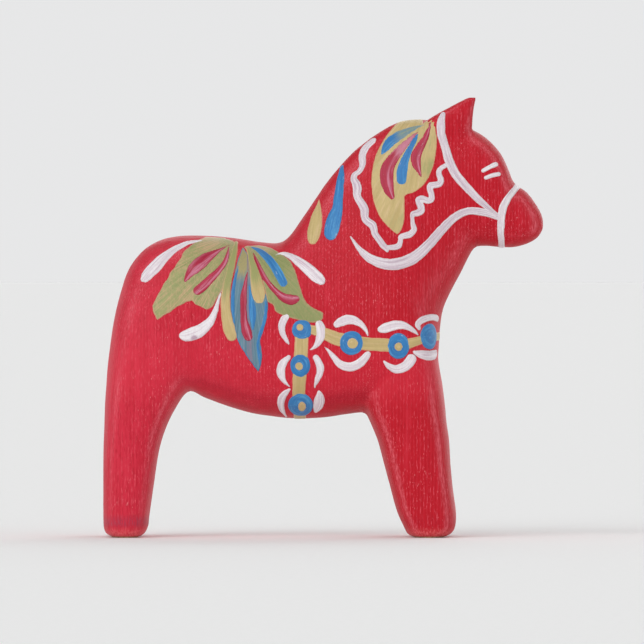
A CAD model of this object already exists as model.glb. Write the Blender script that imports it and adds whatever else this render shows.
"""The painted wooden horse: a pine body, its red coat, and the decoration brushed over it.

The body is lofted from cross-sections, remeshed and softened, and every motif is a thin film of
paint laid on that surface. Lengths are millimetres until a mesh is made.
"""
import itertools
import math

import bmesh
import bpy
import numpy as np
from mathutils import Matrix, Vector, noise
from mathutils.bvhtree import BVHTree


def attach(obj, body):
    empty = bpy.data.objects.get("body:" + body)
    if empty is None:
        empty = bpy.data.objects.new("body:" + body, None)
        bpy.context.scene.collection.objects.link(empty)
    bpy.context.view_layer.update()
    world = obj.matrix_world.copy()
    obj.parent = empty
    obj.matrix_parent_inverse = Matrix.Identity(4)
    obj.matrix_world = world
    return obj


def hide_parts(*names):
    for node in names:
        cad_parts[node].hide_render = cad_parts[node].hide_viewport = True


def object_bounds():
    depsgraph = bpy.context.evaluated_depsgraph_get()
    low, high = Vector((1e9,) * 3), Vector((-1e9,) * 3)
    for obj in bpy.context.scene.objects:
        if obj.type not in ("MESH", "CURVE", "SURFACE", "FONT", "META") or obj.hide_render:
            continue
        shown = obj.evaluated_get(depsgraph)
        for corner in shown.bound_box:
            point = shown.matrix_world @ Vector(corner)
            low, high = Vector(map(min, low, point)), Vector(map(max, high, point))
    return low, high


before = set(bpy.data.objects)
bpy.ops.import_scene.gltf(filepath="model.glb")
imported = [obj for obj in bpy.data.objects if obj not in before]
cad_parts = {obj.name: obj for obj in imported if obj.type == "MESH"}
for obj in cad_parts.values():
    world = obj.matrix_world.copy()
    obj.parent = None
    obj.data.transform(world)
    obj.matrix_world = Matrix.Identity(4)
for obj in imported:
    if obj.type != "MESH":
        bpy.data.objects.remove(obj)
cad_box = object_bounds()
MM = 0.001

# ---- body sections
# x and z of the lower or front end, x and z of the upper or rear end, share of the half width,
# narrowing towards the upper end, squareness.
HALF_WIDTH = 21.0
BODY = [
    (-54.6, 0, -61.8, 0, 0.8, 0, 3.2), (-52.9, 0.8, -63.8, 0.8, 0.87, 0, 3.4),
    (-51.6, 3, -64.9, 3, 0.9, 0, 3.6), (-51, 8, -65.2, 8, 0.91, 0, 3.6),
    (-49.6, 17, -65.25, 17, 0.91, 0, 3.6), (-48.2, 26, -65, 26, 0.92, 0, 3.5),
    (-45.6, 33.8, -64.7, 34, 0.95, 0, 3.4), (-41.8, 40.6, -64.3, 42, 0.98, 0, 3.2),
    (-40.4, 42.3, -63.6, 51, 1.0, 0.02, 3.0), (-39.2, 43.3, -62.3, 61.5, 1.0, 0.04, 2.9),
    (-37.8, 42.6, -60.2, 71, 1.0, 0.05, 2.8), (-36.3, 41.6, -57.2, 79.5, 0.99, 0.06, 2.7),
    (-34.4, 40.7, -52.2, 85.5, 0.98, 0.07, 2.6), (-31.5, 39.6, -45.5, 88.5, 0.97, 0.08, 2.6),
    (-27, 38.1, -36, 89.1, 0.95, 0.08, 2.6), (-21, 36.4, -26, 88.3, 0.94, 0.08, 2.5),
    (-14, 35.3, -18.5, 87.1, 0.94, 0.08, 2.5), (-7, 34.8, -13.2, 86.8, 0.95, 0.1, 2.5),
    (0.5, 35.1, -10.8, 88, 0.96, 0.13, 2.5), (9, 36.4, -8.6, 90.6, 0.97, 0.17, 2.5),
    (20, 38, -6.4, 93.8, 0.98, 0.21, 2.5), (28.5, 41.5, -4.1, 97.2, 0.98, 0.25, 2.5),
    (33.2, 48, -1.8, 100.6, 0.96, 0.28, 2.5), (34.3, 55, 0.6, 104.2, 0.92, 0.3, 2.5),
    (34.6, 61, 3.4, 107.8, 0.86, 0.3, 2.4), (35.6, 67.2, 6.6, 111.3, 0.79, 0.3, 2.4),
    (38, 72.8, 10.6, 115.2, 0.72, 0.28, 2.4), (41.2, 78.8, 15.8, 119.1, 0.65, 0.25, 2.4),
    (43.6, 83.5, 22, 122.4, 0.61, 0.2, 2.4), (44.8, 85.6, 29, 123.3, 0.59, 0.12, 2.5),
    (45.7, 85.8, 36, 122.3, 0.58, 0.06, 2.6), (47, 85.8, 43, 120.8, 0.58, 0, 2.7),
    (48.7, 85.8, 48.4, 117.8, 0.57, -0.04, 2.7), (50.4, 85.6, 52.6, 113.2, 0.545, -0.05, 2.7),
    (52.6, 85.4, 54.9, 108.4, 0.51, -0.03, 2.6), (55, 85.3, 56.6, 104.4, 0.475, 0, 2.6),
    (58, 85.7, 60.2, 101.9, 0.44, 0.03, 2.5), (61, 86.7, 63, 98.2, 0.37, 0.05, 2.4),
    (63.5, 88.3, 64.7, 95.3, 0.26, 0.05, 2.2), (65.2, 90.9, 65.3, 92.9, 0.1, 0, 2),
]
FRONT_LEGS = [
    (35.4, 0, 26.8, 0, 0.8, 0, 3.2), (37.6, 0.8, 25, 0.8, 0.87, 0, 3.4),
    (39.2, 3, 23.8, 3, 0.9, 0, 3.6), (39.4, 7.5, 21.7, 7.5, 0.91, 0, 3.6),
    (38.4, 15, 19.6, 15, 0.91, 0, 3.6), (37.8, 22, 17.8, 22, 0.92, 0, 3.5),
    (37.4, 28.5, 16, 28.5, 0.93, 0, 3.4), (36.7, 33.5, 14, 33.5, 0.95, 0, 3.3),
    (36.2, 38, 12.4, 37.6, 0.96, 0, 3.2), (35.5, 44, 12, 43, 0.965, 0, 3.2),
    (34.5, 50, 14, 50, 0.95, 0, 3), (33.6, 56, 18, 58, 0.88, 0, 2.6),
    (31, 62, 22, 64, 0.7, 0, 2.4),
]
# front x, back x, z, middle y, half width of one ear
EAR = [
    (43.6, 25, 114, 5.4, 4.6), (44.2, 28.6, 121, 5.8, 4.6), (44.3, 31.2, 123.4, 6.1, 4.3),
    (44.5, 34.6, 125.5, 6.3, 3.7), (44.9, 38.6, 127.7, 6.5, 2.9), (45.2, 42, 129.4, 6.6, 2.1),
    (45.3, 43.3, 130, 6.6, 1.4),
]
EAR_SQUARE = 2.3
REAR_GAP = (-75, -36, 37.5)   # first x, last x, height of the arch between two legs
FRONT_GAP = (10, 50, 34.5)
GAP_HALF, GAP_HALF_TOP = 4.4, 3.43
RING, EAR_RING = 72, 36       # points round a section
BODY_STEPS, EAR_STEPS = 3, 4  # rings between two sections
VOXEL, SOFTENING = 0.92, 3
COAT = 0.3                    # thickness of the red coat in the frame
COAT_SHELL = 0.25             # its thickness here
FACET, FACET_DEPTH = (7, 6, 11), 0.1  # a knife facet's size along x, y and z, and its depth
SWELL, SWELL_DEPTH = 9, 0.09  # the same of the slow unevenness between them
CARVE_DEPTH = 0.1             # how much the knife takes off everywhere
SOLE_TOP = 0.25               # what lies lower than this is pressed flat into a sole
MARGIN = 0.32                 # room left for the paint inside the frame's box


def squared_circle(count, square):
    """Cosine and sine at steps of one turn, drawn out towards the corners of a square."""
    turn = np.linspace(0, 2 * math.pi, count, endpoint=False)
    return (np.sign(v) * np.abs(v) ** (2 / square) for v in (np.cos(turn), np.sin(turn)))


def clamped(v):
    return min(max(v, 0), 1)


def smooth_rows(rows, steps):
    """Catmull-Rom through the rows, with that many steps between two of them."""
    rows = np.array(rows, float)
    out = []
    for i in range(len(rows) - 1):
        a, b = rows[max(i - 1, 0)], rows[i]
        c, d = rows[i + 1], rows[min(i + 2, len(rows) - 1)]
        for t in np.arange(steps) / steps:
            out.append(0.5 * (2 * b + (c - a) * t + (2 * a - 5 * b + 4 * c - d) * t * t
                              + (3 * b - a - 3 * c + d) * t ** 3))
    return np.array(out + [rows[-1]])


def body_ring(section):
    low, high = section[0:2], section[2:4]
    share, narrowing, square = section[4:]
    span = np.linalg.norm(high - low)
    along, middle = (high - low) / span, (low + high) / 2
    c, across = squared_circle(RING, square)
    return np.stack([middle[0] + along[0] * span / 2 * c,
                     share * HALF_WIDTH * (1 - narrowing * c) * across,
                     middle[1] + along[1] * span / 2 * c], 1)


def ear_ring(section, side):
    front, back, z, y, half = section
    c, across = squared_circle(EAR_RING, EAR_SQUARE)
    return np.stack([(front + back) / 2 - (front - back) / 2 * c, side * (y + half * across),
                     np.full(EAR_RING, z)], 1)


def link(name, data):
    obj = bpy.data.objects.new(name, data)
    bpy.context.scene.collection.objects.link(obj)
    return obj


def finished(name, mesh, node, slot, material):
    """Show the mesh as the piece that stands for a node of the frame."""
    mesh.name = name
    mesh.polygons.foreach_set("use_smooth", [True] * len(mesh.polygons))
    mesh.update()
    mesh.materials.clear()
    mesh.materials.append(material)
    piece = link(name, mesh)
    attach(piece, "root")
    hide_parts(node)


def mesh_of(name, verts, faces):
    mesh = bpy.data.meshes.new(name)
    mesh.from_pydata([tuple(v) for v in verts], [], faces)
    return mesh


def from_bmesh(name, bm):
    mesh = bpy.data.meshes.new(name)
    bm.to_mesh(mesh)
    bm.free()
    return mesh


def faced_outwards(mesh):
    bm = bmesh.new()
    bm.from_mesh(mesh)
    bmesh.ops.recalc_face_normals(bm, faces=bm.faces)
    bm.to_mesh(mesh)
    bm.free()
    return mesh


def loft(name, rings):
    """A closed mesh through rings of millimetre points, in metres."""
    n = len(rings[0])
    faces = [(r * n + i, r * n + (i + 1) % n, (r + 1) * n + (i + 1) % n, (r + 1) * n + i)
             for r in range(len(rings) - 1) for i in range(n)]
    last = (len(rings) - 1) * n
    faces += [tuple(range(n - 1, -1, -1)), tuple(last + i for i in range(n))]
    return faced_outwards(mesh_of(name, np.concatenate(rings) * MM, faces))


def drop(obj):
    bpy.data.objects.remove(obj, do_unlink=True)


def baked(obj):
    """The object's mesh with its modifiers applied; the object goes."""
    bpy.context.view_layer.update()
    mesh = bpy.data.meshes.new_from_object(obj.evaluated_get(bpy.context.evaluated_depsgraph_get()))
    drop(obj)
    return mesh


def parted(sections, first, last, top):
    """The loft of some sections, without the straight-sided, round-topped gap between its legs."""
    obj = link("block", loft("block", [body_ring(s) for s in smooth_rows(sections, BODY_STEPS)]))
    arc = [(GAP_HALF_TOP * math.cos(a), top - GAP_HALF_TOP + GAP_HALF_TOP * math.sin(a))
           for a in np.linspace(0, math.pi, 17)]
    outline = [(GAP_HALF, -2)] + arc + [(-GAP_HALF, -2)]
    cutter = link("cutter", loft("cutter", [np.array([(x, y, z) for y, z in outline])
                                            for x in (first, last)]))
    cut = obj.modifiers.new("cut", "BOOLEAN")
    cut.operation, cut.object = "DIFFERENCE", cutter
    mesh = baked(obj)
    drop(cutter)
    return mesh


def whole_body():
    """The horse's closed outer surface, in metres, as one even mesh."""
    parts = [parted(BODY, *REAR_GAP), parted(FRONT_LEGS, *FRONT_GAP)]
    parts += [loft("ear", [ear_ring(s, side) for s in smooth_rows(EAR, EAR_STEPS)])
              for side in (-1, 1)]
    bm = bmesh.new()
    for part in parts:
        bm.from_mesh(part)
    obj = link("joined", from_bmesh("joined", bm))
    remesh = obj.modifiers.new("even", "REMESH")
    remesh.mode, remesh.voxel_size = "VOXEL", VOXEL * MM
    soften = obj.modifiers.new("soften", "SMOOTH")
    soften.iterations = SOFTENING
    return baked(obj)


def points_and_normals(mesh):
    points, normals = (np.empty(len(mesh.vertices) * 3, np.float32) for _ in range(2))
    mesh.vertices.foreach_get("co", points)
    mesh.vertex_normals.foreach_get("vector", normals)
    return points.reshape(-1, 3), normals.reshape(-1, 3)


def carve(mesh):
    """Shallow knife facets all over, soles kept flat, and the shape kept inside the frame's box."""
    points, normals = (a.astype(float) for a in points_and_normals(mesh))
    points /= MM
    for i in range(len(points)):
        p = Vector(points[i])
        # cells stretched along the grain read as flats left by the knife
        cell = noise.voronoi(Vector(c / size for c, size in zip(p, FACET)))[0]
        flat = min(cell[1] - cell[0], 0.5) - 0.25
        above_sole = clamped((p.z - 1.0) / 3)
        lift = FACET_DEPTH * flat + SWELL_DEPTH * noise.noise(p / SWELL) - CARVE_DEPTH
        points[i] += normals[i] * above_sole * lift
    low, high = (np.array(corner) / MM for corner in cad_box)
    low[:2] += MARGIN
    points = np.clip(points, low, high - MARGIN)
    points[:, 2] = np.where(points[:, 2] < SOLE_TOP, 0, points[:, 2])
    mesh.vertices.foreach_set("co", (points * MM).astype(np.float32).ravel())
    mesh.update()


surface = whole_body()
carve(surface)
surface_bm = bmesh.new()
surface_bm.from_mesh(surface)
bmesh.ops.scale(surface_bm, vec=Vector((1 / MM,) * 3), verts=surface_bm.verts)
skin = BVHTree.FromBMesh(surface_bm)
surface_bm.free()
OUTSIDE = 60  # y of a place that is clear of the horse


def seen_from_side(x, z, side):
    """The point of the skin that a straight look at x and z from that side meets, or None."""
    return skin.ray_cast(Vector((x, side * OUTSIDE, z)), Vector((0, -side, 0)))[0]


# ---- charts of the surface
# `ray` gives the start and the way of a ray for u and v, and 1 if it leaves the horse or -1 if it
# enters; `place` gives u and v for a point.
class Side:
    """Straight across the horse: u is x and v is z."""

    def ray(self, u, v, side):
        return Vector((u, side * OUTSIDE, v)), Vector((0, -side, 0)), -1

    def place(self, x, z, y):
        return x, z


class Round:
    """Round a line in the middle plane, level at height z or upright at x: u runs along it, and v
    is the way round it from `ahead`, which is an x and a z."""

    def __init__(self, ahead, radius, x=0, z=0):
        self.ahead, self.radius, self.x, self.z = ahead, radius, x, z

    def ray(self, u, v, side):
        a = v / self.radius
        ahead, up = self.ahead
        start = (self.x, 0, u) if ahead else (u, 0, self.z)
        return Vector(start), Vector((ahead * math.cos(a), side * math.sin(a), up * math.cos(a))), 1

    def place(self, x, z, y):
        ahead, up = self.ahead
        out = (x - self.x) * ahead + (z - self.z) * up
        return z if ahead else x, math.atan2(abs(y), out) * self.radius


SIDE = Side()
BACK, CREST, NECK, HEAD = (Round((0, 1), 18.0, z=z) for z in (60, 88, 80, 95))
BELLY = Round((0, -1), 18.0, z=60)
CHEST = Round((1, 0), 20.0, x=8)


def cast(chart, u, v, side):
    """(point, outward normal) on the skin, or None."""
    origin, way, sign = chart.ray(u, v, side)
    hit, normal, _, _ = skin.ray_cast(origin, way)
    if hit is None:
        return None
    if normal.dot(way) * sign < 0:
        normal = -normal
    return hit, normal


# ---- painted shapes, in side view
TURNING = 0.6      # share of a step towards the middle plane that counts in a stroke's width
CHEST_ARC = 27.0   # radius used to measure round the chest
LEAF_STEPS = 6     # points of a leaf's outline between two of its table


class Shape:
    """One mark of the brush. `field` gives (depth inside the edge, along, across) at points."""
    grid, margin = 0.32, 4.0   # size of the cells it is cut into, and room round its outline
    ragged, tints, ear_root = 0.0, (), None

    def outline(self):
        return self.line

    def places(self, chart, side):
        """Where the outline falls on a chart."""
        out = []
        for x, z in self.outline():
            hit = seen_from_side(x, z, side)
            out.append(chart.place(x, z, hit.y if hit else 0))
        return np.array(out)

    def tint_at(self, x, z):
        """How far the second colour shows through, from spots of [x, z, radius, amount]."""
        out = 0.0
        for spot_x, spot_z, radius, amount in self.tints:
            t = max(1 - math.hypot(x - spot_x, z - spot_z) / radius, 0)
            out = max(out, amount * min(1.6 * t, 1))
        return out


class Stroke(Shape):
    """A brush stroke through [x, z, width], with round ends."""

    def __init__(self, points, ragged=0.0, tints=(), turning=TURNING):
        rows = np.array(points, float)
        fine = []
        for i, gap in enumerate(np.linalg.norm(np.diff(rows[:, :2], axis=0), axis=1)):
            steps = max(2, int(gap / 0.25))
            start = steps if i > 0 else 0
            fine.append(smooth_rows(rows[max(i - 1, 0):i + 3], steps)[start:start + steps])
        line = np.concatenate(fine + [rows[-1:]])
        self.line, self.width = line[:, :2], np.maximum(line[:, 2], 0.15)
        steps = np.linalg.norm(np.diff(self.line, axis=0), axis=1)
        self.travel = np.concatenate([[0], np.cumsum(steps)])
        self.way = np.gradient(self.line, axis=0)
        self.way /= np.maximum(np.linalg.norm(self.way, axis=1, keepdims=True), 1e-9)
        self.ragged, self.tints, self.turning, self.known = ragged, tints, turning, {}

    def flat(self, points):
        return points[:, [0, 2]]

    def distances_out(self, side):
        """How far from the middle plane the middle line of the stroke lies on the surface."""
        if side not in self.known:
            out, last = [], 0.0
            for x, z in self.line:
                hit = seen_from_side(x, z, side)
                last = abs(hit.y) if hit else last * 0.8
                out.append(last)
            self.known[side] = np.array(out)
        return self.known[side]

    def field(self, points, side):
        off = self.flat(points)[:, None, :] - self.line[None]
        far = np.linalg.norm(off, axis=2)
        if self.turning:
            out = np.abs(points[:, 1])[:, None] - self.distances_out(side)[None]
            far = np.sqrt(far ** 2 + (self.turning * out) ** 2)
        depth = self.width[None] / 2 - far
        best = depth.argmax(1)
        row = np.arange(len(points))
        way, off = self.way[best], off[row, best]
        across = (way[:, 0] * off[:, 1] - way[:, 1] * off[:, 0]) / (self.width[best] / 2)
        return depth[row, best], self.travel[best], np.clip(across, -1.2, 1.2)


class ChestStroke(Stroke):
    """A stroke whose points are [way round from the middle of the chest, z, width]."""

    def __init__(self, points, ragged=0.0, tints=()):
        super().__init__(points, ragged, tints, turning=0.0)

    def flat(self, points):
        turn = np.arctan2(np.abs(points[:, 1]), points[:, 0] - CHEST.x)
        return np.stack([turn * CHEST_ARC, points[:, 2]], 1)

    def places(self, chart, side):
        return np.stack([self.line[:, 1], self.line[:, 0] / CHEST_ARC * chart.radius], 1)


class Dot(Shape):
    """A dab of paint: round in side view, or round on the surface itself where it turns away."""

    def __init__(self, x, z, wide, high=None, turning=0.0):
        self.x, self.z, self.wide, self.high, self.turning = x, z, wide, high or wide, turning

    def outline(self):
        a = np.linspace(0, 2 * math.pi, 24)
        return np.stack([self.x + self.wide * np.cos(a), self.z + self.high * np.sin(a)], 1)

    def field(self, points, side):
        off = points - np.array(seen_from_side(self.x, self.z, side))
        level = np.hypot(off[:, 0], self.turning * off[:, 1]) * np.where(off[:, 0] < 0, -1, 1)
        dx, dz = level / self.wide, off[:, 2] / self.high
        r = np.hypot(dx, dz)
        return (1 - r) * min(self.wide, self.high), np.arctan2(dz, dx) * self.wide, r * 2 - 1


class Leaf(Shape):
    """A filled outline made of smooth chains, each ending where the next begins. Streaks fan out
    from `root`; between the ears the leaf ends at x = `ear_root`."""
    grid, margin = 0.45, 1.0

    def __init__(self, chains, root, spread, ragged=0.0, ear_root=None, tints=()):
        closed = zip(chains, chains[1:] + chains[:1])
        self.line = np.concatenate([smooth_rows(chain + following[:1], LEAF_STEPS)[:-1]
                                    for chain, following in closed])
        self.root, self.spread, self.ragged, self.tints = root, spread, ragged, tints
        self.ear_root = ear_root

    def field(self, points, side):
        a, b = self.line, np.roll(self.line, -1, axis=0)
        q, x, z = points[:, [0, 2]], points[:, 0], points[:, 2]
        ab = b - a
        t = ((q[:, None] - a[None]) * ab[None]).sum(2) / np.maximum((ab ** 2).sum(1), 1e-9)[None]
        near = a[None] + np.clip(t, 0, 1)[:, :, None] * ab[None]
        far = np.linalg.norm(q[:, None] - near, axis=2).min(1)
        crosses = (a[None, :, 1] > z[:, None]) != (b[None, :, 1] > z[:, None])
        slope = (b[:, 0] - a[:, 0]) / np.where(b[:, 1] == a[:, 1], 1e-9, b[:, 1] - a[:, 1])
        at = slope[None] * (z[:, None] - a[None, :, 1]) + a[None, :, 0]
        inside = (crosses & (x[:, None] < at)).sum(1) % 2 == 1
        r = q - self.root
        return (np.where(inside, far, -far), np.linalg.norm(r, axis=1),
                np.arctan2(r[:, 0], -r[:, 1]) * self.spread)


SUNK = 0.12        # how far the underside of a film lies in the coat
EDGE_SUNK = 0.02   # how far its edge does
EDGE_ROUND = 0.5   # width of its rounded edge
ROUND_END = 0.95   # radius of the corners where a motif stops short of the middle plane
NEXT_LIFT = 0.012  # how much higher each next shape of a motif lies
SEED_STEP = 0.37
HAND = ((0.11, 0.55, 0), (0.05, 1.7, 3))  # wavers of the hand: how far, how often, noise shift
HAND_REACH = 1.2   # they are felt this near to an edge
EAR_SPAN = 6.2     # between the ears the distance from the middle plane is less than this
EAR_ROOT = 29.6    # x where the ears grow out of the crest
NOWHERE = (1e3, 1e3, 1e3)


class Film:
    """The triangles of one motif, gathered shape by shape."""

    def __init__(self):
        self.verts, self.faces = [], []
        self.marks = {name: [] for name in ("along", "across", "edge", "seed", "tint")}

    def add(self, shape, chart, side, height, seed, both, bare):
        grid, places = shape.grid, shape.places(chart, side)
        (u0, v0), (u1, v1) = places.min(0) - shape.margin, places.max(0) + shape.margin
        if both:
            v0 = -v1
        elif chart is not SIDE:
            v0 = max(v0, 0.0)
        us, vs = np.arange(u0, u1 + grid, grid), np.arange(v0, v1 + grid, grid)
        round_trip = 0.0
        if both and v1 > math.pi * chart.radius:
            # a ring: its last column of cells meets the first one again
            round_trip = 2 * math.pi * chart.radius
            vs = np.linspace(-round_trip / 2, round_trip / 2, round(round_trip / grid), False)
        spots = [[cast(chart, u, v, side) for v in vs] for u in us]
        points = np.array([tuple(s[0]) if s else NOWHERE for row in spots for s in row])
        depth, along, across = shape.field(points, side)
        depth = depth + self.tremble(depth, along, across, points, shape, seed, side)
        out = np.abs(points[:, 1])
        if shape.ear_root:
            depth = np.where(out < EAR_SPAN, np.minimum(depth, shape.ear_root - points[:, 0]), depth)
        if bare:
            # a rounded end where the motif stops short of the middle plane
            depth = (np.maximum(np.minimum(depth, out - bare), ROUND_END)
                     - np.hypot(np.maximum(ROUND_END - depth, 0),
                                np.maximum(ROUND_END - (out - bare), 0)))
        least = 0.1 * grid
        depth = np.where(np.abs(depth) < least, least * np.where(depth < 0, -1, 1), depth)

        def point_between(corner, other, t):
            """The point of the skin where the edge of the paint crosses a side of a cell."""
            (i, j), (k, m) = corner, other
            step = vs[m] - vs[j]
            if abs(step) > round_trip / 2 > 0:
                step -= math.copysign(round_trip, step)
            return cast(chart, us[i] + (us[k] - us[i]) * t, vs[j] + step * t, side)

        size = len(us), len(vs)
        self.march(shape, side, height, seed, spots, point_between, bool(round_trip),
                   *(values.reshape(size) for values in (depth, along, across)))

    def tremble(self, depth, along, across, points, shape, seed, side):
        """An edge drawn by hand: a slow wander, a fine tremble, and bristles leaving gaps."""
        at = 13.7 * seed + (5.1 if side > 0 else 0)
        out = np.zeros(len(depth))
        for i in np.nonzero(np.abs(depth) < HAND_REACH)[0]:
            x, y, z = points[i]
            for far, often, shift in HAND:
                out[i] += far * noise.noise(Vector((x * often, z * often, at + shift)))
            if shape.ragged and abs(y) > 4:
                bristle = Vector((across[i] * 3.5, along[i] * 0.35, at + 7))
                out[i] += shape.ragged * noise.noise(bristle)
        return out

    def march(self, shape, side, height, seed, spots, point_between, ring, depth, along, across):
        """Cut the cells along the edge of the paint, and make an upper and a lower face of each."""
        nu, nv = depth.shape
        ids, top = {}, []

        def vertex(corner, other=None):
            if (corner, other) not in ids:
                spot, d = spots[corner[0]][corner[1]], depth[corner]
                a, c = along[corner], across[corner]
                if other:
                    found = point_between(corner, other, d / (d - depth[other]))
                    d = 0.0
                    if found:
                        _, (a,), (c,) = shape.field(np.array([tuple(found[0])]), side)
                    spot = found or spot
                ids[corner, other] = len(top)
                top.append((spot, d, a, c))
            return ids[corner, other]

        cells = []
        for i in range(nu - 1):
            for j in range(nv if ring else nv - 1):
                beside = (j + 1) % nv
                corners = [(i, j), (i + 1, j), (i + 1, beside), (i, beside)]
                inside = [depth[c] > 0 for c in corners]
                if not any(inside) or any(spots[k][m] is None for k, m in corners):
                    continue
                cell = []
                for k in range(4):
                    a, b = corners[k], corners[(k + 1) % 4]
                    if inside[k]:
                        cell.append(vertex(a))
                    if inside[k] != inside[(k + 1) % 4]:
                        cell.append(vertex(*sorted((a, b))))
                cells.append(cell)
        base, n = len(self.verts), len(top)
        for upper in (True, False):
            for (point, normal), d, a, c in top:
                rise = 1 - (1 - min(d / EDGE_ROUND, 1.0)) ** 2
                lift = -EDGE_SUNK + (height + EDGE_SUNK) * rise if upper else -SUNK
                self.verts.append(point + normal * lift)
                marks = (a, c, d, seed, shape.tint_at(point.x, point.z))
                for values, mark in zip(self.marks.values(), marks):
                    values.append(mark)
        sides = dict.fromkeys(side for cell in cells for side in zip(cell, cell[1:] + cell[:1]))
        for cell in cells:
            self.faces.append([base + k for k in cell])
            self.faces.append([base + n + k for k in reversed(cell)])
        for a, b in sides:
            if (b, a) not in sides:
                self.faces.append([base + b, base + a, base + n + a, base + n + b])

    def piece(self, node, paint):
        mesh = mesh_of(node + "_film", [v * MM for v in self.verts], self.faces)
        for name, values in self.marks.items():
            layer = mesh.attributes.new(name, "FLOAT", "POINT")
            layer.data.foreach_set("value", np.array(values, np.float32))
        finished(node + "_film", faced_outwards(mesh), node, *paint)


# ---- materials
class Value:
    """A number or colour that varies over the surface; sums and products of values make nodes."""

    def __init__(self, graph, socket):
        self.graph, self.socket = graph, socket

    def __add__(self, other):
        return self.graph.math("ADD", self, other)

    def __sub__(self, other):
        return self.graph.math("SUBTRACT", self, other)

    def __mul__(self, other):
        return self.graph.math("MULTIPLY", self, other)

    def ramp(self, low, high, to_low=0.0, to_high=1.0):
        inputs = dict(enumerate((self, low, high, to_low, to_high)))
        return self.graph.node("ShaderNodeMapRange", inputs, interpolation_type="SMOOTHSTEP")


class Graph:
    """A short way to write the node graph of a material or of the surround."""

    def __init__(self, owner):
        owner.use_nodes = True
        self.owner, self.tree = owner, owner.node_tree

    def node(self, kind, inputs, output=0, **settings):
        n = self.tree.nodes.new(kind)
        for key, value in settings.items():
            setattr(n, key, value)
        for key, value in inputs.items():
            self.put(n.inputs[key], value)
        return Value(self, n.outputs[output])

    def put(self, socket, value):
        if isinstance(value, Value):
            self.tree.links.new(value.socket, socket)
        else:
            socket.default_value = (*value, 1) if socket.type == "RGBA" else value

    def math(self, operation, a, b=0.0):
        return self.node("ShaderNodeMath", {0: a, 1: b}, operation=operation)

    def mix(self, factor, a, b):
        return self.node("ShaderNodeMix", {0: factor, 6: a, 7: b}, 2, data_type="RGBA")

    def attribute(self, name):
        return self.node("ShaderNodeAttribute", {}, "Fac", attribute_name=name)

    def place(self, sx=1, sy=1, sz=1):
        """Object coordinates in millimetres, scaled along each axis."""
        coords = self.node("ShaderNodeTexCoord", {}, "Object")
        return self.node("ShaderNodeVectorMath", {0: coords, 1: (sx / MM, sy / MM, sz / MM)},
                         operation="MULTIPLY")

    def axes(self):
        return (self.node("ShaderNodeSeparateXYZ", {0: self.place()}, k) for k in "XYZ")

    def noise(self, where, detail=3.0, rough=0.55, distort=0.0):
        """Noise at a vector, or at the object coordinates scaled by three numbers."""
        if not isinstance(where, Value):
            where = self.place(*where)
        inputs = {"Vector": where, "Scale": 1.0, "Detail": detail, "Roughness": rough,
                  "Distortion": distort}
        return self.node("ShaderNodeTexNoise", inputs, "Fac")

    def bump(self, height, distance, strength, normal=None):
        inputs = {"Strength": strength, "Distance": distance * MM, "Height": height}
        if normal:
            inputs["Normal"] = normal
        return self.node("ShaderNodeBump", inputs)

    def finish(self, color, rough, normal, coat, coat_rough, specular=0.5):
        inputs = {"Base Color": color, "Roughness": rough, "Normal": normal, "Coat Weight": coat,
                  "Coat Roughness": coat_rough, "Specular IOR Level": specular}
        for key, value in inputs.items():
            self.put(self.tree.nodes["Principled BSDF"].inputs[key], value)
        return self.owner


def material_graph(name):
    return Graph(bpy.data.materials.new(name))


CENTRE_SHIFT = 0.25  # the pale middle of a stroke lies a little to one side
RIM_RED = (0.42, 0.06, 0.09)  # the coat showing through the thin edge of the paint
GLINT = (0.9, 0.86, 0.88)


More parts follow.
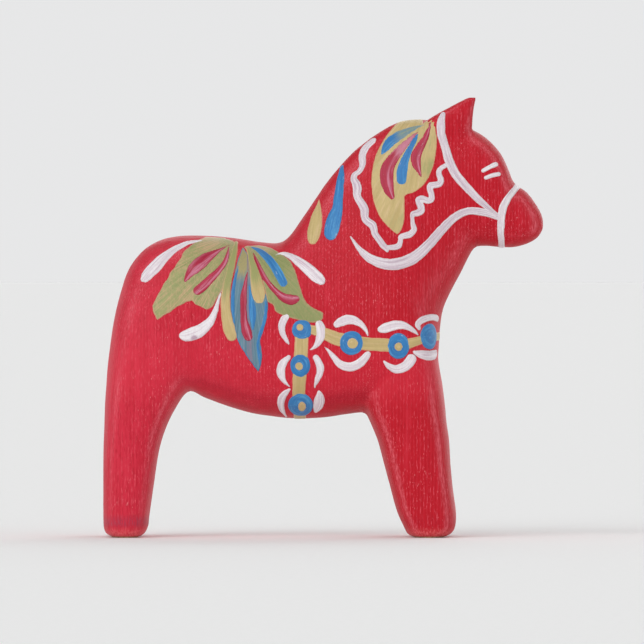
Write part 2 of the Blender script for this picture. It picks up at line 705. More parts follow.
def brush_paint(name, dark, base, light, edge, edge_amount, streak, stretch, tint, centre=None,
                lines=0.5, shine=0.0, mottle=0.0):
    """Its slot and material: bristle lines along the stroke, a raised and cleaner edge."""
    g = material_graph(name)
    along, across = g.attribute("along"), g.attribute("across")
    seed, depth = g.attribute("seed"), g.attribute("edge")

    def bristles(fine, long, shift, detail=4.0):
        where = {0: across * fine + seed * (31.7 + shift), 1: along * long, 2: seed * 7.3}
        return g.noise(g.node("ShaderNodeCombineXYZ", where), detail, 0.62, 0.15)

    streaks = bristles(streak, stretch, 0.0)
    fine = bristles(streak * 2.4, stretch * 1.3, 3.1, 3.0)
    loads = bristles(streak * 0.35, stretch * 0.6, 5.7, 2.0)   # how much paint the brush carried
    weave = g.noise((2.4, 2.4, 0.6), 3.0, 0.6)
    color = g.mix(streaks.ramp(0.48, 0.66), base, light)
    color = g.mix(streaks.ramp(0.3, 0.44, lines, 0.0), color, dark)
    color = g.mix(fine.ramp(0.3, 0.42, 0.6 * lines, 0.0), color, dark)
    color = g.mix(loads.ramp(0.36, 0.6, 0.35, 0.0), color, dark)
    tinted = (g.attribute("tint") + (streaks - 0.5) * 1.3).ramp(0.18, 0.75)
    color = g.mix(tinted * g.attribute("tint").ramp(0.0, 0.08), color, tint)
    if mottle:
        # the tint is worked into the rear leaf all over, and the front leaf stays greener
        x, _, _ = g.axes()
        specks = g.noise((1.5, 1.5, 0.8), 3.0, 0.65).ramp(0.46, 0.62) * x.ramp(-24, -12, mottle, 0.12)
        color = g.mix(x.ramp(-24, -10, 0.0, 0.55), color, dark)
        color = g.mix(specks, color, tint)
    if centre:
        beside = g.math("ABSOLUTE", across - CENTRE_SHIFT)
        middle = (beside * -1.0 + (streaks - 0.5) * 1.5).ramp(-0.42, 0.0)
        color = g.mix(middle * loads.ramp(0.34, 0.52, 0.25, 0.85), color, centre)
    color = g.mix(depth.ramp(0.12, 0.55, edge_amount, 0.0), color, edge)
    color = g.mix(depth.ramp(0.0, 0.17, 0.55, 0.0), color, RIM_RED)
    color = g.mix(weave.ramp(0.34, 0.56, 0.16, 0.0), color, dark)
    if shine:
        glint = bristles(streak * 1.3, stretch * 3.5, 9.2, 2.0).ramp(0.68, 0.76, 0.0, shine)
        color = g.mix(glint, color, GLINT)
    ridge = depth.ramp(0.05, 0.3) * depth.ramp(0.3, 0.75, 1.0, 0.55)
    height = streaks * 0.9 + fine * 0.5 + ridge * 0.8
    normal = g.bump(height, 0.14, 0.9, g.bump(weave, 0.05, 0.7))
    return name, g.finish(color, streaks.ramp(0.3, 0.7, 0.38, 0.56), normal, 0.05, 0.25, 0.35)


RIB_PITCH = 1.0


def red_coat():
    """Thin red over pine: upright ribs of fibre, dashes where the brush skipped, worn corners."""
    g = material_graph("red_paint")
    x, y, z = g.axes()
    bend = g.noise((0.1, 0.1, 0.03), 2.0) * 6.0

    def ribs_along(axis, face):
        phase = axis * (2 * math.pi / RIB_PITCH) + bend
        return (g.math("SINE", phase) * 0.5 + 0.5) * g.attribute(face)

    ribs = ribs_along(x, "flank") + ribs_along(y, "end")
    fibre = g.noise((3.2, 3.2, 0.5), 3.0, 0.6)        # short upright dashes
    gaps = g.noise((2.6, 2.6, 0.4), 2.0, 0.5)         # dark hollows between them
    brush = g.noise((0.5, 0.5, 0.04), 4.0, 0.6)     # brush strokes
    cloud = g.noise((0.045, 0.06, 0.035), 2.0)         # thicker and thinner coat
    where = g.noise((0.09, 0.1, 0.06), 2.0)            # where the dashes gather
    rear = (x + cloud * 44).ramp(-48, 52, 1.0, 0.0)
    color = g.mix(rear, (0.525, 0.0035, 0.015), (0.645, 0.022, 0.052))
    color = g.mix(brush.ramp(0.34, 0.62, 0.3, 0.0), color, (0.43, 0.003, 0.012))
    color = g.mix(brush.ramp(0.52, 0.7, 0.0, 0.26), color, (0.7, 0.04, 0.07))
    color = g.mix(gaps.ramp(0.34, 0.5, 1.0, 0.0) * 0.42, color, (0.4, 0.002, 0.01))
    low_flank = z.ramp(36, 46) * z.ramp(50, 66, 1.0, 0.0)
    color = g.mix(low_flank * 0.35, color, (0.74, 0.03, 0.06))
    color = g.mix(ribs * 0.16, color, (0.72, 0.04, 0.07))
    dash = (fibre + ribs * 0.1).ramp(0.6, 0.76) * where.ramp(0.34, 0.62, 0.45, 1.0)
    color = g.mix(dash * 0.6, color, (0.8, 0.115, 0.155))
    spark = g.noise((3.6, 3.6, 0.95), 1.0, 0.5).ramp(0.7, 0.76) * where.ramp(0.4, 0.62)
    color = g.mix(spark * 0.7, color, (0.88, 0.3, 0.32))
    # paint rubbed thin along the corners, in broken lines
    worn = g.attribute("corner") * fibre.ramp(0.36, 0.6, 0.15, 1.0)
    worn = worn * cloud.ramp(0.36, 0.58, 0.35, 1.0)
    color = g.mix(worn * 0.62, color, (0.82, 0.17, 0.21))
    belly = g.attribute("under") * fibre.ramp(0.4, 0.62, 1.0, 0.3) * x.ramp(20, 34, 1.0, 0.0)
    color = g.mix(belly * 0.25, color, (0.26, 0.012, 0.03))
    # handled feet: a dusty ring above the soles, mostly of the rear pair, and paler rims below it
    ring = z.ramp(2.6, 4.2) * z.ramp(4.8, 7.4, 1.0, 0.0) * x.ramp(-50, -40, 1.0, 0.12)
    ring = ring * fibre.ramp(0.4, 0.6, 0.2, 0.9)
    color = g.mix(ring * 0.5, color, (0.25, 0.055, 0.1))
    sole = z.ramp(0.6, 3.6, 1.0, 0.0) * fibre.ramp(0.36, 0.6, 0.2, 0.9)
    color = g.mix(sole * 0.55, color, (0.86, 0.22, 0.22))
    height = fibre * 0.8 + brush * 1.2 + ribs * 0.35
    return g.finish(color, fibre.ramp(0.3, 0.7, 0.42, 0.56), g.bump(height, 0.11, 0.85), 0.03, 0.25,
                    0.16)


def bare_pine():
    """Sawn end grain: growth rings round a heart that lies outside the block."""
    g = material_graph("pine")
    x, y, _ = g.axes()
    dx, dy = x - 12.0, y + 34.0
    r = g.math("SQRT", dx * dx + dy * dy) + g.noise((0.06, 0.06, 0.01), 2.0) * 5.0
    rings = g.math("FRACT", r * 0.62)
    late = rings.ramp(0.45, 0.92) * rings.ramp(0.93, 1.0, 1.0, 0.0)
    pores = g.noise((4.0, 4.0, 0.2), 3.0, 0.6)
    color = g.mix(late, (0.7, 0.5, 0.29), (0.44, 0.25, 0.11))
    color = g.mix(pores.ramp(0.35, 0.6, 0.35, 0.0), color, (0.36, 0.22, 0.11))
    stain = g.noise((0.12, 0.12, 0.12))
    color = g.mix(stain.ramp(0.5, 0.75, 0.0, 0.35), color, (0.42, 0.3, 0.19))
    normal = g.bump(pores * 0.5 + g.noise((0.25, 3.2, 0.2), 2.0), 0.08, 0.7)
    return g.finish(color, pores.ramp(0.3, 0.7, 0.6, 0.8), normal, 0.0, 0.3)


# each paint: its dark, base, light and edge colours, how much of the edge colour shows, how fine and
# how stretched its bristle lines are, its second colour, and the colour of its middle if it has one
WHITE = brush_paint("white_paint", (0.52, 0.34, 0.43), (0.9, 0.86, 0.885), (0.93, 0.92, 0.925),
                    (0.92, 0.9, 0.91), 0.6, 3.8, 0.08, (0.5, 0.37, 0.45), lines=0.8)
BLUE = brush_paint("blue_paint", (0.02, 0.12, 0.34), (0.03, 0.21, 0.51), (0.095, 0.36, 0.66),
                   (0.1, 0.36, 0.64), 0.3, 2.8, 0.12, (0.26, 0.33, 0.26), lines=0.35, shine=0.35)
OCHRE = brush_paint("ochre_paint", (0.42, 0.31, 0.12), (0.6, 0.46, 0.2), (0.7, 0.52, 0.27),
                    (0.76, 0.44, 0.24), 0.75, 3.4, 0.09, (0.34, 0.35, 0.13), lines=0.45)
OLIVE = brush_paint("olive_paint", (0.2, 0.255, 0.08), (0.36, 0.37, 0.15), (0.5, 0.4, 0.2),
                    (0.64, 0.38, 0.23), 0.85, 9.0, 0.06, (0.64, 0.41, 0.24), lines=0.6, mottle=0.38)
CRIMSON = brush_paint("crimson_paint", (0.31, 0.006, 0.032), (0.45, 0.012, 0.05), (0.54, 0.05, 0.105),
                      (0.33, 0.008, 0.035), 0.5, 2.4, 0.1, (0.56, 0.2, 0.27), (0.64, 0.23, 0.33),
                      lines=0.4, shine=0.5)
TEAL = brush_paint("teal_paint", (0.07, 0.14, 0.2), (0.12, 0.25, 0.32), (0.22, 0.34, 0.43),
                   (0.04, 0.25, 0.5), 0.7, 6.5, 0.05, (0.42, 0.36, 0.16), (0.25, 0.2, 0.27))


# ---- the pine body and its coat
BLOCK_GAP = 0.05     # how far under the frame's coat the block lies
SOLE_BAND = 1.5      # the block isn't shortened below this height
BLOCK_DETAIL = 0.35  # share of the faces kept on it, as it shows at the soles only
CORNER_TURN, CORNER_WIDTH = 0.72, 0.11  # sideways lean of the surface along the worn corner lines


def pine_piece():
    """The block under the coat, with the soles left flat on the ground."""
    mesh = surface.copy()
    points, normals = points_and_normals(mesh)
    normals[points[:, 2] < SOLE_BAND * MM, 2] = 0
    points -= normals * (COAT + BLOCK_GAP) * MM
    mesh.vertices.foreach_set("co", points.ravel())
    obj = link("block", mesh)
    obj.modifiers.new("thin", "DECIMATE").ratio = BLOCK_DETAIL
    finished("pine_block", baked(obj), "pine_body", "pine", bare_pine())


def coat_piece():
    """The coat: the surface, cut off just above the ground and thickened inwards."""
    bm = bmesh.new()
    bm.from_mesh(surface)
    bmesh.ops.bisect_plane(bm, geom=bm.verts[:] + bm.edges[:] + bm.faces[:], clear_outer=True,
                           plane_co=(0, 0, COAT * MM), plane_no=(0, 0, -1))
    bmesh.ops.dissolve_degenerate(bm, dist=0.01 * MM, edges=bm.edges)
    # which way the surface faces, and its rounded corners, where paint wears thin
    bm.normal_update()
    corner, under, flank, end = (bm.verts.layers.float.new(name)
                                 for name in ("corner", "under", "flank", "end"))
    for v in bm.verts:
        nx, ny, nz = v.normal
        bent = math.exp(-((abs(ny) - CORNER_TURN) / CORNER_WIDTH) ** 2)
        below = clamped((-nz - 0.35) / 0.3)
        v[corner], v[under] = bent * (1 - below), bent * below
        v[flank] = clamped((abs(ny) - 0.45) / 0.3)
        v[end] = clamped((abs(nx) - 0.55) / 0.3)
    obj = link("shell", from_bmesh("shell", bm))
    obj.modifiers.new("thick", "SOLIDIFY").thickness = COAT_SHELL * MM
    finished("red_coat", baked(obj), "red_base_coat", "red_paint", red_coat())


pine_piece()
coat_piece()

# ---- the decoration
RIGHT, LEFT = -1, 1
seeds = itertools.count(1)


def painted(node, paint, chart, side, height, shapes, both=False, bare=0.0):
    """Paint the shapes as one piece, the film `height` thick over the coat."""
    film = Film()
    for i, shape in enumerate(shapes):
        film.add(shape, chart, side, height + NEXT_LIFT * i, next(seeds) * SEED_STEP, both, bare)
    film.piece(node, paint)


def pair(name, paint, chart, height, shapes, bare=0.0):
    """The same motif on both sides, ending `bare` short of the middle plane."""
    for side, word in ((RIGHT, "right"), (LEFT, "left")):
        painted(f"{word}_{name}", paint, chart, side, height, shapes, bare=bare)


def wrapped(name, paint, chart, height, shapes):
    """One motif that runs over the middle plane from side to side."""
    painted(name, paint, chart, RIGHT, height, shapes, both=True)


LILAC = [(25, 100, 400, 0.42)]  # straps and lines, where the white went on thinly
FAINT = [(10, 60, 400, 0.27)]   # scrolls and commas, where it covers better
MANE_LEAF = Leaf([
    [(31.3, 122.4), (28, 124.6), (24.6, 124.4), (20.6, 120.9), (17.6, 116.8), (15.2, 111.8), (14.2, 105.5),
     (14.7, 99.8), (16.2, 95.4), (18.6, 92)],
    [(21.8, 89.2), (23.3, 91), (24, 94.4)],
    [(24, 100.8), (27.4, 102), (30.4, 104.8), (32.4, 109), (33.4, 113.8), (33.6, 118.6)],
    [(32.9, 122.6), (32, 123.2)]],
    (33.5, 134), 11.0, ear_root=EAR_ROOT,
    tints=[(31.6, 109, 5, 0.5), (30, 117, 6, 0.3), (22, 92, 6, 0.3), (15.5, 108, 5, 0.25)])
REAR_LEAF = Leaf([
    [(-25.6, 86.8), (-29, 88.3), (-33, 88.7), (-36, 88), (-40, 85.3), (-42.4, 82), (-45, 78),
     (-47.6, 73.6)],
    [(-50.4, 68.3), (-49.8, 66.2)],
    [(-49, 64), (-45.2, 66.4), (-42, 68.4)],
    [(-38.8, 70), (-36.8, 68.2), (-34.4, 67.4), (-32.4, 68.2), (-31, 70.8), (-29.2, 73.4), (-27.2, 79)]],
    (-25, 89.5), 6.0, 0.35,
    tints=[(-34, 88, 7, 0.5), (-43, 81, 5, 0.4), (-33.5, 69, 6, 0.35), (-30, 76, 6, 0.3),
          (-47, 70, 6, 0.33), (-40, 71.5, 5, 0.33)])
FRONT_LEAF = Leaf([
    [(-23.5, 85.8), (-19.6, 86.1), (-16.2, 85.7), (-13.2, 84.2), (-10.6, 82.4), (-8.6, 79.8), (-7.2, 75.8),
     (-6.2, 72.4), (-4.9, 69.6), (-2.9, 67.9)],
    [(0.1, 66.3)],
    [(0, 64.3), (-2.8, 63.3), (-6, 63.8), (-9, 64.5), (-12, 65.5), (-14, 66.6), (-14.8, 68.6),
     (-16.4, 69.4), (-17, 72), (-18, 76), (-19.4, 80)]],
    (-23, 88), 6.0, 0.1, tints=[(-17.5, 85, 4, 0.5), (-9.5, 78, 3.5, 0.4)])
TEAL_LEAF = Leaf([
    [(-23.7, 85.7), (-25, 82.4), (-26, 78.4), (-26.8, 73.2), (-27.1, 68.6), (-26.6, 63.8), (-25.4, 58.6),
     (-22.7, 53.8)],
    [(-18.9, 48.6), (-17.8, 53.2)],
    [(-18.6, 58.8), (-17.4, 62), (-16.5, 65.4), (-16.2, 69.2), (-17.4, 74), (-19.2, 79)]],
    (-22.5, 90), 9.0, tints=[(-22.5, 86.5, 13, 1.0), (-19, 73, 4, 0.5)])
pair("cheek_strap", WHITE, SIDE, 0.2, [
    Stroke([(35.3, 124.8, 1.7), (34.8, 122.4, 2.5), (34.9, 119, 2.6), (36, 115, 2.5), (37.2, 111, 2.8),
        (39.2, 106.9, 2.7), (42.2, 103.4, 2.6), (45.6, 99.8, 2.2), (49, 96.8, 1.7),
        (51.9, 94.6, 1)], 0.05, LILAC)])
pair("rein", WHITE, SIDE, 0.19, [
    Stroke([(8.1, 88.7, 0.5), (10.8, 84.9, 1.7), (14.7, 81.8, 2.8), (20.6, 80.5, 3.6), (26.4, 82.3, 3.5),
        (31.1, 86.3, 3.1), (35.1, 90.8, 2.8), (39, 94.5, 2.5), (43, 96.2, 2.3), (47.5, 95.8, 2.3),
        (51.6, 94.5, 2)], 0.08, LILAC)])
pair("eye_marks", WHITE, SIDE, 0.2, [
    Stroke([(47.2, 108.1, 1.3), (49.2, 109.2, 1.5), (51, 110, 1.5)]),
    Stroke([(48, 106, 1.2), (49.8, 106.7, 1.4), (51.8, 107.1, 1.4)])])
pair("mane_scallop", WHITE, CREST, 0.2, [
    Stroke([(14.6, 116.9, 2.4), (13, 115.5, 2.7), (11.8, 113.6, 2.5), (11.6, 111.8, 2.4), (11.7, 110, 2.1),
        (10.9, 108.2, 1.8), (9.4, 106.9, 1.8), (9.1, 105.6, 2.1), (9.8, 104.2, 2.6), (10.1, 102.8, 2.8),
        (10, 101.2, 2.4), (10.4, 99.8, 2.4), (11.4, 98.3, 2.5), (12.2, 96.8, 2.6), (12.3, 95.5, 2.5),
        (12.3, 94.3, 2.3), (13.2, 93.1, 2.3), (14.5, 92.2, 2.4), (15, 90.9, 2.2), (15.3, 89.6, 2.1),
        (16.4, 87.9, 2.1), (17.6, 86.2, 2.1), (18.6, 85.2, 1.8), (18.9, 84.3, 0.7)], 0.08, LILAC),
    Stroke([(19, 85.5, 1.6), (21, 85.6, 1.8), (22.3, 86.1, 1.8), (22.8, 87.4, 1.6), (23, 88.5, 1.7),
        (24.3, 89, 2), (25.8, 89.5, 2), (26.8, 90.7, 1.8), (26.5, 92.3, 1.5), (26.3, 93.9, 1.3),
        (26.4, 95.3, 1.6), (27.7, 95.6, 2), (28.8, 96.2, 2.1), (29, 97.3, 2.1), (28.3, 98.6, 2),
        (28.1, 99.6, 1.8), (29.4, 99.8, 2), (31, 99.3, 2), (32, 99.9, 1.9), (31.9, 101.3, 1.9),
        (31.5, 102.7, 2), (31.6, 103.7, 1.9), (32.8, 103.9, 2), (34.2, 104.2, 2), (34.8, 105.2, 1.9),
        (34.3, 106.6, 1.8), (34.1, 107.9, 1.6), (34.8, 108.8, 1.6),
        (36.2, 109.7, 1.5)], 0.06, LILAC)], bare=1.6)
pair("mane_crimson_strokes", CRIMSON, CREST, 0.21, [
    Stroke([(29.4, 120.7, 0.5), (26.6, 118.2, 1.5), (23.8, 115.4, 2.6), (20.9, 112, 3.6), (19, 108.6, 4.3),
        (18.8, 105.2, 4.3), (19.4, 102.5, 3.4), (20.3, 100.4, 2)], 0.06, [(25, 117, 8, 0.9)]),
    Stroke([(31.7, 122.3, 0.8), (30.6, 118.6, 2), (28.8, 115.3, 2.8), (27.5, 112.5, 3.4), (27.5, 110.2, 3),
        (28.3, 107.9, 1.7), (28.9, 106.4, 0.8)], 0.06)], bare=0.8)
pair("mane_blue_strokes", BLUE, CREST, 0.19, [
    Stroke([(29.9, 121.6, 0.6), (27, 120.6, 1.8), (24.2, 119.3, 2.8), (21.8, 118, 3.5), (19.9, 116.5, 3.6),
        (18.5, 114.8, 2.7), (17.4, 113, 1)], 0.1, [(26, 120, 8, 0.6)]),
    Stroke([(28, 119, 0.8), (26.8, 116.7, 1.9), (25.3, 113.8, 2.2), (24, 110.8, 2.9), (23.3, 107.9, 3.5),
        (23.2, 105.4, 3.2)], 0.05)], bare=0.8)
pair("neck_drop_blue", BLUE, NECK, 0.2, [
    Stroke([(5.5, 109.2, 1.5), (5.2, 106, 2.4), (4.8, 102.6, 2.8), (4.5, 99.6, 3), (4.2, 96.8, 3.5),
        (3.4, 94.2, 4.4), (2.8, 92, 4.8), (2.4, 90.2, 4.4), (2.3, 89.4, 3.8)], 0.08)], bare=1.6)
pair("neck_drop_ochre", OCHRE, NECK, 0.19, [
    Stroke([(-1.2, 99.6, 0.4), (-1.3, 98.2, 1.4), (-1.6, 96.2, 2.7), (-1.9, 94.6, 3.7), (-2.2, 92.4, 4.3),
        (-2.6, 90.4, 4.4), (-2.9, 88.6, 3.7), (-3, 87.7, 2.8)], 0.05)], bare=1.6)
pair("saddle_white_commas", WHITE, BACK, 0.22, [
    Stroke([(-34.4, 87.2, 0.4), (-37.6, 87.3, 1.2), (-40.8, 86.5, 1.8), (-43.8, 84.9, 2.4),
        (-47, 82.4, 3.2), (-49.8, 79.4, 3.8), (-51.8, 77.3, 3.4), (-52.6, 76.4, 2.6)], 0.3, FAINT),
    Stroke([(-14.1, 83.1, 0.4), (-12, 83.7, 1.2), (-9.2, 82.7, 2.1), (-6.2, 80.6, 3), (-3.6, 78.4, 3.5),
        (-1.8, 76.8, 3.5), (-0.5, 75.7, 2.6)], 0.06, FAINT),
    Stroke([(-29.8, 72.9, 0.4), (-30.8, 70, 1), (-31.7, 66.8, 1.7), (-33.2, 63.8, 2.6), (-35.4, 61.6, 3.5),
        (-38, 60.2, 4), (-40.2, 59.6, 3.4), (-41.2, 59.6, 2.4)], 0.1, [(-37.9, 58.8, 1.5, 0.8)])], bare=4.0)
pair("saddle_crimson_strokes", CRIMSON, BACK, 0.21, [
    Stroke([(-27.2, 86.4, 0.4), (-29.6, 85.2, 1), (-32, 83.8, 2.2), (-34.8, 82, 3.9), (-37, 80.2, 4.2),
        (-38.8, 78.4, 3.2), (-40.6, 75.6, 1.1)], 0.14, [(-36, 81, 8, 0.34)]),
    Stroke([(-27.8, 85.6, 0.6), (-28.1, 83.4, 1.4), (-29, 81, 1.9), (-30.8, 78.6, 2.2), (-33, 76.4, 2.7),
        (-35.2, 74.2, 3.1), (-36.9, 72.8, 3)], 0.06),
    Stroke([(-21.7, 80.3, 0.4), (-22.4, 77.4, 0.9), (-23, 74, 1.6), (-23.4, 70.4, 2.3), (-23.4, 66.8, 2.2),
        (-23.2, 63.6, 2.5), (-22.5, 60.8, 3.3), (-22, 59.2, 2.8)], 0.05),
    Stroke([(-20.7, 84.2, 0.5), (-19.6, 81.4, 1.3), (-18.2, 78.4, 1.8), (-16.4, 75.4, 1.8),
        (-14.2, 72.9, 2), (-11.8, 70.9, 2.8), (-9.6, 70.1, 3.4), (-8, 70.3, 2.6)], 0.05)], bare=4.0)
pair("saddle_blue_strokes", BLUE, BACK, 0.19, [
    Stroke([(-20.9, 85.4, 1), (-18.9, 84.5, 2.2), (-16.8, 82.8, 2.8), (-14.8, 80.5, 3), (-13.2, 78, 3.1),
        (-12, 75.7, 3), (-11.7, 75, 2.8)], 0.05),
    Stroke([(-21.9, 76.6, 0.4), (-21.6, 72.8, 1), (-21.1, 69.2, 2.1), (-20.7, 65.8, 2.6), (-20.6, 63, 1.6),
        (-20.6, 61.4, 0.8)], 0.05),
    Stroke([(-16.9, 69.4, 0.8), (-16.9, 66.6, 1.2), (-17.4, 63.4, 1.3), (-18.4, 60.4, 1.3),
        (-19.2, 57.2, 1.1), (-18.8, 53.8, 1.2), (-18.7, 50.2, 0.5)], 0.05),
    Stroke([(-24.9, 80, 0.6), (-25.9, 76, 1.1), (-26.5, 71.8, 1.3), (-26.5, 67.4, 1.3),
        (-26.1, 63.4, 0.8)], 0.06)], bare=4.0)
pair("saddle_ochre_strokes", OCHRE, BACK, 0.17, [
    Stroke([(-25.6, 87, 1.2), (-26.2, 83.6, 2), (-27.2, 79.2, 2.4), (-28.2, 74.6, 2.6), (-28.7, 70, 2.9),
        (-28.4, 65.6, 3.2), (-27.7, 61.8, 3.7), (-26.9, 59.5, 3.2)], 0.12, [(-26.5, 84, 17, 1.0)]),
    Stroke([(-22.2, 85.2, 1.2), (-21.2, 82, 2), (-20.2, 78.8, 2.9), (-19.6, 75.2, 3.8), (-19, 72, 4.2),
        (-18.7, 70.2, 3)], 0.16, [(-21, 83, 12, 0.9)])], bare=4.0)
pair("saddle_teal_leaf", TEAL, BACK, 0.11, [TEAL_LEAF], bare=4.0)
pair("saddle_green_leaves", OLIVE, BACK, 0.1, [REAR_LEAF, FRONT_LEAF], bare=4.0)
pair("girth_white_scrolls", WHITE, SIDE, 0.2, [
    Stroke([(-10.7, 65.2, 1.7), (-11.5, 64.3, 2.3), (-12.1, 62.7, 2.2), (-12.1, 61.2, 2),
        (-11.7, 59.8, 1.7), (-10.8, 58.3, 1.3), (-9.9, 56.9, 0.5)], 0.04, FAINT),
    Stroke([(-1.1, 62.9, 2.5), (-0.7, 61.6, 3), (-0.6, 60, 2.9), (-0.9, 58.7, 2.6), (-1.6, 57.3, 2),
        (-2.5, 56.2, 1.2), (-3.9, 55.3, 0.4)], 0.04, FAINT),
    Stroke([(-10.1, 53.2, 1.3), (-11.5, 51.8, 2.2), (-12.3, 50.1, 2.7), (-12.4, 48.4, 2.5),
        (-11.9, 46.9, 1.8), (-11, 45.6, 1.1), (-9.7, 44.4, 0.4)], 0.04, FAINT),
    Stroke([(-2.1, 53, 1.9), (-1.3, 51.6, 2.2), (-0.8, 50.1, 2.3), (-1, 48.4, 2.1), (-1.6, 47, 1.7),
        (-2.1, 45.6, 1.2), (-2.5, 44.2, 0.5)], 0.04, FAINT),
    Stroke([(-9.9, 43.7, 0.8), (-11, 42.7, 1.7), (-12, 41.4, 2.3), (-12.4, 39.8, 2.2), (-12.3, 38.3, 1.9),
        (-11.7, 36.8, 1.4), (-10.7, 35.3, 0.6)], 0.04, FAINT),
    Stroke([(-1.2, 43, 1), (-1, 41.7, 2.4), (-1.1, 40.2, 3.3), (-1.5, 38.6, 2.9),
        (-2.1, 37.1, 1.2)], 0.04, FAINT)])
pair("breast_white_scrolls", WHITE, CHEST, 0.2, [
    Stroke([(13.3, 59.4, 0.4), (12.7, 61.1, 1.1), (11.4, 62.7, 1.8), (9.4, 64, 2.5), (7.2, 64.3, 2.9),
        (5.4, 63.7, 2.8), (4.1, 62.9, 2.1)], 0.05, FAINT),
    Stroke([(28.2, 59.6, 0.4), (26.4, 61.2, 1.4), (24, 62.5, 2.2), (21.2, 62.6, 2.9), (18.6, 61.9, 3),
        (17, 61.4, 2)], 0.06, FAINT),
    ChestStroke([(20.7, 61.7, 1.2), (21.1, 62.8, 1.9), (20, 63.9, 2.1), (17.6, 64.6, 2), (14.2, 64.9, 2),
        (11.4, 64.7, 2.1), (9.8, 64.4, 1.9)], 0.05, FAINT),
    Stroke([(0.5, 56.2, 0.4), (1.7, 55, 1), (3.1, 53.3, 1.7), (4.4, 51.7, 2.2), (6.2, 50.6, 2.6),
        (8.3, 50.4, 2.8), (10.3, 51.1, 2.8), (12, 52.6, 2.5), (13.1, 54, 2.1)], 0.05, FAINT),
    Stroke([(17.9, 52, 0.7), (19.4, 50.6, 1.8), (21.6, 49.7, 2.6), (24, 50.4, 3), (25.5, 51.9, 3.2),
        (26, 52.7, 3.1)], 0.05, FAINT),
    ChestStroke([(21.9, 54.9, 0.7), (20.6, 54.3, 1.9), (18.4, 53.8, 2.8), (15.4, 53.7, 3),
        (12.4, 53.9, 2.8), (10.4, 54.3, 2.2)], 0.05, FAINT)])
pair("girth_flower_centres", OCHRE, SIDE, 0.28, [
    Dot(-6.8, 62.0, 1.25), Dot(-7.0, 50.6, 1.4), Dot(-6.2, 38.8, 1.4, 1.7)])
pair("breast_flower_centres", OCHRE, CHEST, 0.28, [
    Dot(8.7, 57.3, 1.8), Dot(22.2, 56.3, 1.4, 1.5)])
pair("girth_blue_flowers", BLUE, SIDE, 0.19, [
    Dot(-6.2, 61.3, 3), Dot(-6.7, 50.8, 3, 3.5), Dot(-6.6, 39, 3.7, 3.8, 0.3)])
pair("breast_blue_flowers", BLUE, CHEST, 0.19, [
    Dot(8.4, 57.4, 3.6), Dot(22.2, 56.5, 3.3, 3.9), Dot(31.6, 59.3, 3.8, 3.8, turning=0.6)])
wrapped("noseband", WHITE, HEAD, 0.21, [
    Stroke([(59.8, 106.6, 1.9), (58.4, 104.8, 1.9), (56.6, 102.6, 1.9), (54.7, 100.2, 2.1),
        (53.2, 97.4, 2.4), (52.6, 94.2, 2.3), (52.4, 90, 2.1), (52.7, 86, 2),
        (52.8, 82, 2)], 0.05, turning=0.0)])
wrapped("mane_leaf", OCHRE, CREST, 0.11, [MANE_LEAF])
wrapped("girth_band", OCHRE, BELLY, 0.12, [
    Stroke([(-6.2, 61.5, 4.1), (-6.6, 52.4, 4.2), (-7.1, 44, 4), (-6.9, 38, 3.8),
        (-6.7, 31, 3.8)], 0.04, turning=0.0)])
wrapped("breast_band", OCHRE, CHEST, 0.12, [
    Stroke([(-4.2, 61.6, 2.6), (-1.2, 60.8, 3.2), (1.8, 59.6, 3.8), (5, 58.4, 4.1), (11.6, 57.3, 4),
        (17, 56.9, 4), (22.4, 56.7, 3.7), (26.9, 57.7, 2.8), (31, 58.8, 2.5),
        (38, 59.6, 2.6)], 0.04, turning=0.0)])

# ---- stage, lights and camera
FLOOR_Z = -0.00002  # metres; a hair under the soles
FLOOR_STEPS, FLOOR_RADII = 96, (0.5, 1.5, 4.0, 12.0)


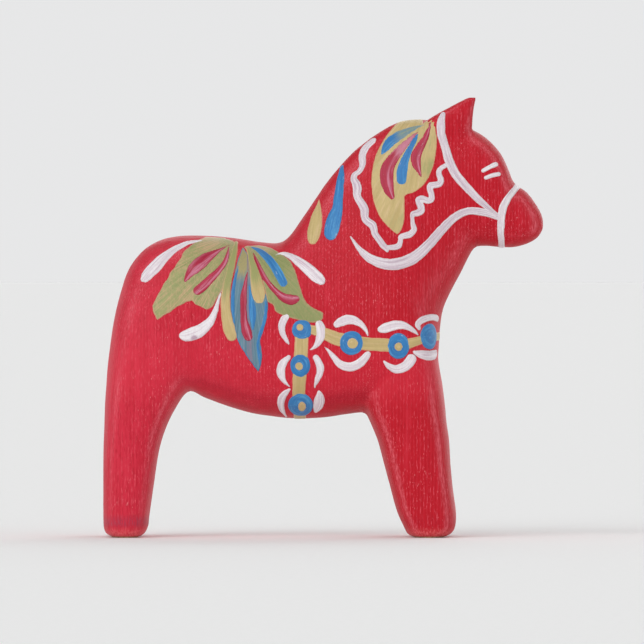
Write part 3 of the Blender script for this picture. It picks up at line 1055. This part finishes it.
def studio_floor():
    """A wide round sheet of pale paper, which fades into an equally pale surround."""
    n = FLOOR_STEPS
    turn = np.linspace(0, 2 * math.pi, n, endpoint=False)
    verts = [(0, 0, FLOOR_Z)] + [(r * math.cos(t), r * math.sin(t), FLOOR_Z)
                                 for r in FLOOR_RADII for t in turn]
    faces = [(0, 1 + i, 1 + (i + 1) % n) for i in range(n)]
    faces += [(k + i, k + n + i, k + n + (i + 1) % n, k + (i + 1) % n)
              for k in range(1, 1 + n * (len(FLOOR_RADII) - 1), n) for i in range(n)]
    mesh = mesh_of("floor", verts, faces)
    g = material_graph("paper")
    grain = g.noise((0.4, 0.4, 0.4))
    tone = g.mix(grain.ramp(0.3, 0.7), (0.91, 0.91, 0.905), (0.93, 0.93, 0.925))
    mesh.materials.append(g.finish(tone, 0.9, g.bump(grain, 0.02, 0.3), 0.0, 0.3, 0.1))
    link("floor", mesh)


def facing(obj, place, target):
    obj.location = place
    obj.rotation_euler = (target - Vector(place)).to_track_quat("-Z", "Y").to_euler()


def soft_sun(name, place, strength, spread):
    """A broad even light from far away, so that the floor is lit alike everywhere."""
    light = bpy.data.lights.new(name, "SUN")
    light.energy, light.angle = strength, math.radians(spread)
    facing(link(name, light), place, Vector())


def studio_world(horizon, above):
    """A pale surround, as bright as the floor at the horizon and dimmer above."""
    world = bpy.data.worlds.new("studio")
    bpy.context.scene.world = world
    g = Graph(world)
    way = g.node("ShaderNodeTexCoord", {}, "Generated")
    up = g.node("ShaderNodeSeparateXYZ", {0: way}, "Z")
    back = g.tree.nodes["Background"].inputs
    g.put(back["Strength"], up.ramp(0.0, 0.45, horizon, above))
    g.put(back["Color"], (0.98, 0.982, 0.988))


studio_floor()
soft_sun("key", (-0.55, -0.8, 0.55), 1.1, 50)
soft_sun("fill", (0.65, -0.8, 0.3), 0.32, 70)
soft_sun("behind", (0.3, 0.9, 0.5), 0.9, 60)
studio_world(0.815, 0.5)

FRAME_WIDTH = 0.1903  # metres seen across the picture at the horse
AIM, TILT = Vector((-0.0003, 0, 0.0634)), math.radians(0.5)
camera = bpy.data.cameras.new("camera")
camera.lens = 900
distance = FRAME_WIDTH / camera.sensor_width * camera.lens
eye = link("camera", camera)
facing(eye, AIM + Vector((0, -math.cos(TILT), math.sin(TILT))) * distance, AIM)
bpy.context.scene.camera = eye
bpy.context.scene.view_settings.view_transform = "Standard"
